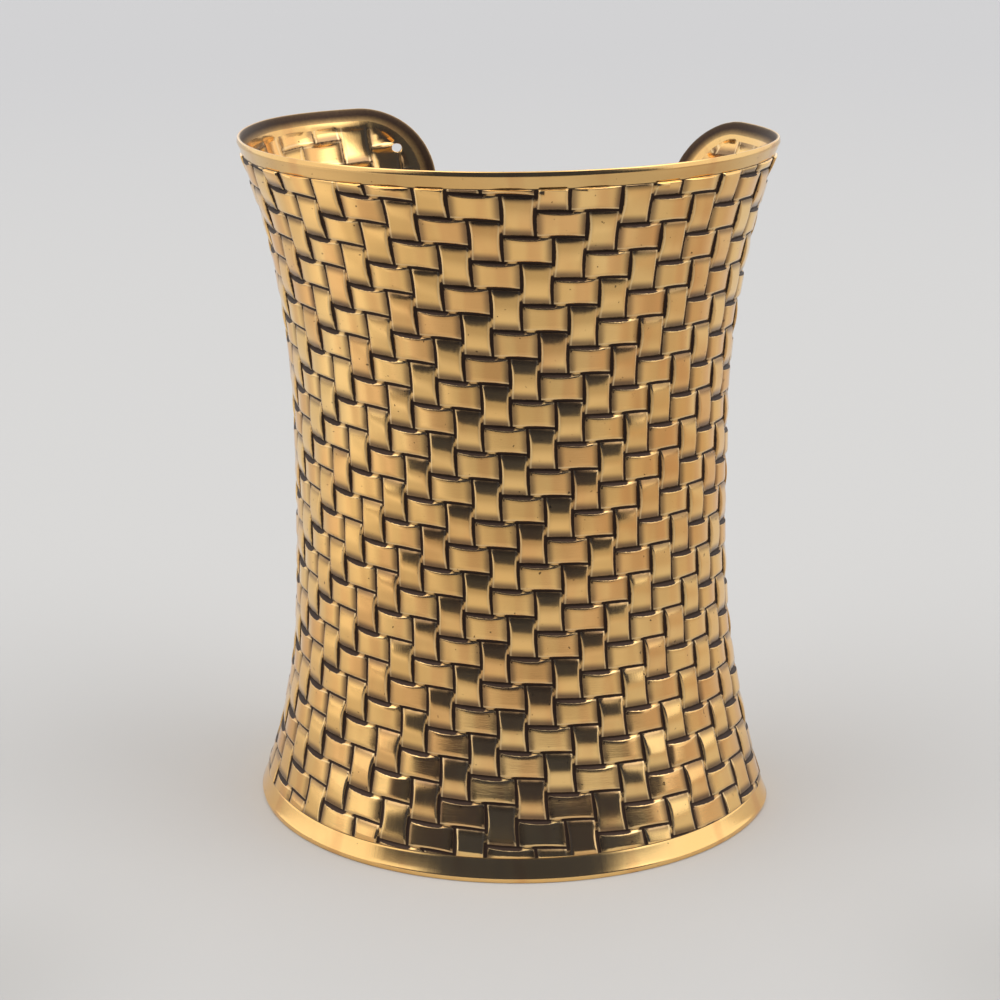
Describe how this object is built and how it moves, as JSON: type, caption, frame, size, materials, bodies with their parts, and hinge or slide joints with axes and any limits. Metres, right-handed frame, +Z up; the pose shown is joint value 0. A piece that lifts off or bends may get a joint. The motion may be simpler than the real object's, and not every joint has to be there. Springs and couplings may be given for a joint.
{
  "type": "cuff bracelet",
  "caption": "Wide open-backed metal cuff bracelet with flared rims, rounded ends and a stamped basket weave all over.",
  "frame": {"origin": "centre of the bounding box's bottom face: the cuff stands on its lower rim", "axes": "+Z up through the wrist opening, -Y the closed front, +Y the open back, +X to the right seen from the front"},
  "size_m": [0.08, 0.0598, 0.1016],
  "materials": {
    "brass": "gold-toned brass, polished on the raised weave, with dark patina in the grooves"
  },
  "bodies": {
    "root": {"cuff": "brass"}
  },
  "joints": []
}
